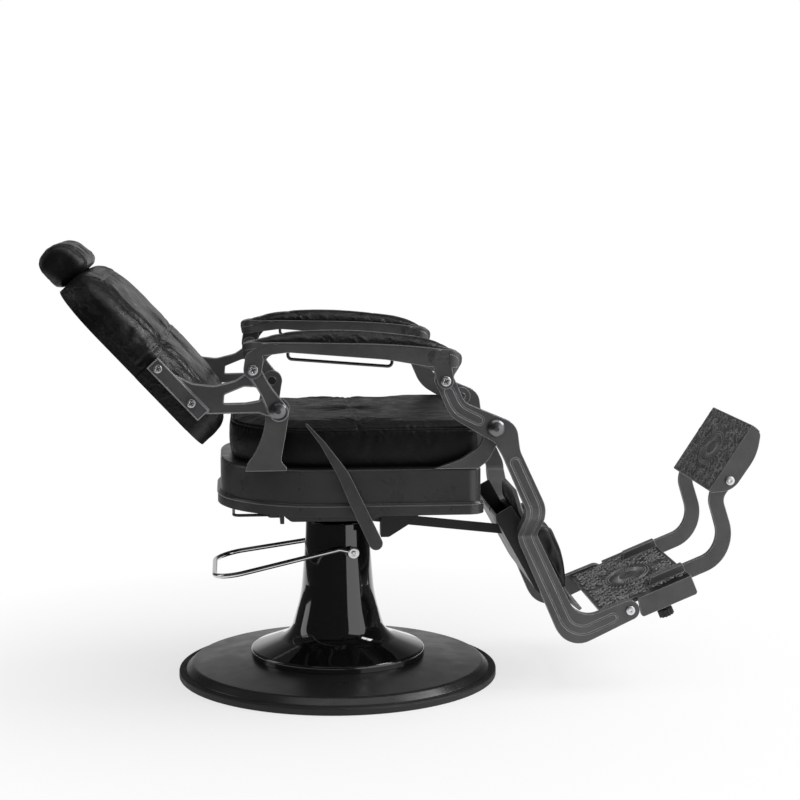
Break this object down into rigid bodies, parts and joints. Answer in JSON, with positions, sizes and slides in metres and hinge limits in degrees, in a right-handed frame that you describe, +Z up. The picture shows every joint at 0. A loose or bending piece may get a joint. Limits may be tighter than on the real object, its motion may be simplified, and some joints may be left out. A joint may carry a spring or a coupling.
{
  "type": "barber chair",
  "caption": "Reclining barber chair on a round hydraulic base, with a linked back, arms and leg rest, pump lever, headrest, and folding footplate with a foot pad.",
  "frame": {"origin": "on the floor, on the axis of the hydraulic column", "axes": "+X to the sitter's front, +Y to the sitter's left, +Z up; the chair is fully reclined and fully lowered at rest"},
  "size_m": [1.4122, 0.65, 0.8812],
  "materials": {
    "gloss_black": "piano gloss black enamel",
    "satin_black": "satin black enamel",
    "pan_black": "satin black enamel on castings",
    "cast_grey": "satin charcoal paint on castings",
    "rubber_black": "matt ribbed",
    "leather_black": "semi-gloss with a fine grain",
    "board": "plywood under black trim cloth",
    "chrome": "bright plated",
    "dark_chrome": "polished dark plating",
    "knob_black": "matt with moulded flutes"
  },
  "bodies": {
    "base": {"base_disc": "satin_black", "base_rim_trim": "rubber_black", "column_shroud": "gloss_black", "pump_cylinder": "satin_black", "pump_foot": "satin_black", "lever_pins": "chrome", "base_bolts": "chrome"},
    "pump_lever": {"pump_lever": "chrome"},
    "ram": {"ram": "chrome"},
    "seat": {"seat_frame": "pan_black", "seat_pan": "pan_black", "cushion_board": "board", "seat_cushion": "leather_black", "frame_bolts": "chrome", "rear_post_right": "cast_grey", "rear_post_left": "cast_grey", "front_wing_right": "cast_grey", "front_wing_left": "cast_grey", "main_pivot_pins": "chrome", "pivot_caps": "dark_chrome", "lock_box": "satin_black"},
    "swivel_lock": {"swivel_lock_handle": "satin_black"},
    "recline_lever": {"recline_lever": "satin_black", "recline_shaft": "satin_black"},
    "back": {"back_bracket_right": "cast_grey", "back_bracket_left": "cast_grey", "back_board": "board", "back_cushion": "leather_black", "bracket_screws": "chrome", "arm_rear_pins": "chrome"},
    "headrest": {"headrest_stem": "satin_black", "headrest_cushion": "leather_black"},
    "arm_right": {"arm_rail_right": "cast_grey", "arm_pad_right": "leather_black", "towel_bar_right": "chrome"},
    "arm_left": {"arm_rail_left": "cast_grey", "arm_pad_left": "leather_black", "towel_bar_left": "chrome"},
    "legrest": {"leg_frame_right": "cast_grey", "leg_frame_left": "cast_grey", "arm_front_pins": "chrome", "foot_hinge_pins": "chrome", "calf_tray": "satin_black", "calf_board": "board", "calf_pad": "leather_black", "calf_scroll_upper": "cast_grey", "calf_scroll_lower": "cast_grey", "calf_bolts": "chrome", "lock_pin": "chrome"},
    "lock_bar": {"lock_bar": "satin_black"},
    "footplate": {"footplate": "cast_grey"},
    "clamp_knob_right": {"clamp_knob_right": "knob_black"},
    "clamp_knob_left": {"clamp_knob_left": "knob_black"},
    "foot_extension": {"extension_bar_right": "cast_grey", "extension_bar_left": "cast_grey", "pad_pivot_pins": "chrome"},
    "foot_pad": {"foot_pad": "cast_grey"}
  },
  "joints": [
    {"name": "pump_stroke", "type": "hinge", "parent": "base", "child": "pump_lever", "pos_m": [0.028, 0, 0.263], "axis": [0, -1, 0], "range_deg": [0, 18], "stiffness_Nm_per_rad": 6},
    {"name": "lift", "type": "slide", "parent": "base", "child": "ram", "axis": [0, 0, 1], "range_m": [0, 0.15]},
    {"name": "swivel", "type": "hinge", "parent": "ram", "child": "seat", "pos_m": [0, 0, 0.321], "axis": [0, 0, 1], "continuous": true},
    {"name": "recline", "type": "hinge", "parent": "seat", "child": "back", "pos_m": [-0.126, 0, 0.577], "axis": [0, 1, 0], "range_deg": [0, 22]},
    {"name": "headrest_height", "type": "slide", "parent": "back", "child": "headrest", "axis": [-0.682, 0, 0.7314], "range_m": [0, 0.1]},
    {"name": "arm_right_link", "type": "hinge", "parent": "back", "child": "arm_right", "pos_m": [-0.173, -0.276, 0.656], "axis": [0, 1, 0], "range_deg": [-25, 0]},
    {"name": "arm_left_link", "type": "hinge", "parent": "back", "child": "arm_left", "pos_m": [-0.173, 0.276, 0.656], "axis": [0, 1, 0], "range_deg": [-25, 0]},
    {"name": "legrest_swing", "type": "hinge", "parent": "seat", "child": "legrest", "pos_m": [0.285, 0, 0.539], "axis": [0, 1, 0], "range_deg": [0, 19]},
    {"name": "lock_bar_link", "type": "hinge", "parent": "legrest", "child": "lock_bar", "pos_m": [0.33046, -0.075, 0.30602], "axis": [0, 1, 0], "range_deg": [-14, 0]},
    {"name": "recline_release", "type": "hinge", "parent": "seat", "child": "recline_lever", "pos_m": [0.007, -0.27, 0.43], "axis": [0, -1, 0], "range_deg": [0, 20], "stiffness_Nm_per_rad": 3},
    {"name": "footplate_fold", "type": "hinge", "parent": "legrest", "child": "footplate", "pos_m": [0.57, 0, 0.159], "axis": [0, -1, 0], "range_deg": [0, 55]},
    {"name": "extension_slide", "type": "slide", "parent": "footplate", "child": "foot_extension", "axis": [0.9245, 0, 0.3811], "range_m": [0, 0.06]},
    {"name": "foot_pad_tip", "type": "hinge", "parent": "foot_extension", "child": "foot_pad", "pos_m": [0.77526, 0, 0.41069], "axis": [0, 1, 0], "range_deg": [0, 90]},
    {"name": "clamp_right", "type": "hinge", "parent": "footplate", "child": "clamp_knob_right", "pos_m": [0.63657, -0.127, 0.18644], "axis": [-0.3811, 0, 0.9245], "range_deg": [0, 270]},
    {"name": "clamp_left", "type": "hinge", "parent": "footplate", "child": "clamp_knob_left", "pos_m": [0.63657, 0.127, 0.18644], "axis": [-0.3811, 0, 0.9245], "range_deg": [0, 270]},
    {"name": "swivel_lock_lift", "type": "hinge", "parent": "seat", "child": "swivel_lock", "pos_m": [-0.136, 0, 0.337], "axis": [0, 1, 0], "range_deg": [0, 10], "stiffness_Nm_per_rad": 2}
  ],
  "couplings": [
    {"joint": "arm_right_link", "follows": "recline", "ratio": -1.1},
    {"joint": "arm_left_link", "follows": "recline", "ratio": -1.1},
    {"joint": "legrest_swing", "follows": "recline", "ratio": 0.83},
    {"joint": "lock_bar_link", "follows": "recline", "ratio": -0.61}
  ]
}
